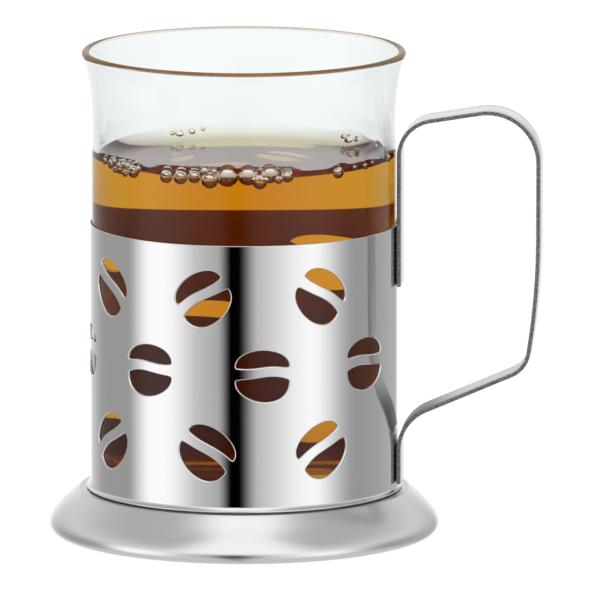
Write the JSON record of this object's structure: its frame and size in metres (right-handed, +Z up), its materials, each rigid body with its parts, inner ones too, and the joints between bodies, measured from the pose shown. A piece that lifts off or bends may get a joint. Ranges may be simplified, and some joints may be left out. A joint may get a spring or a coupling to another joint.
{
  "type": "glass tea cup",
  "caption": "Clear glass beaker with a flared lip that lifts out of a pierced, polished steel sleeve on a flared satin base, carried by a bent flat-strap handle.",
  "frame": {"origin": "on the axis of the cup, in the plane of the table that the foot stands on", "axes": "+Z up along the cup's axis, +X towards the handle, +Y across the handle"},
  "size_m": [0.1214, 0.096, 0.12],
  "materials": {
    "clear_glass": "clear fire-polished borosilicate",
    "polished_steel": "mirror-polished stainless sheet",
    "satin_steel": "satin stainless sheet and strip"
  },
  "bodies": {
    "holder": {"sleeve": "polished_steel", "base_skirt": "satin_steel", "floor_plate": "satin_steel", "handle_strap": "satin_steel"},
    "glass": {"glass_beaker": "clear_glass"}
  },
  "joints": [
    {"name": "glass_lift", "type": "slide", "parent": "holder", "child": "glass", "axis": [0, 0, 1], "range_m": [0, 0.1]}
  ]
}
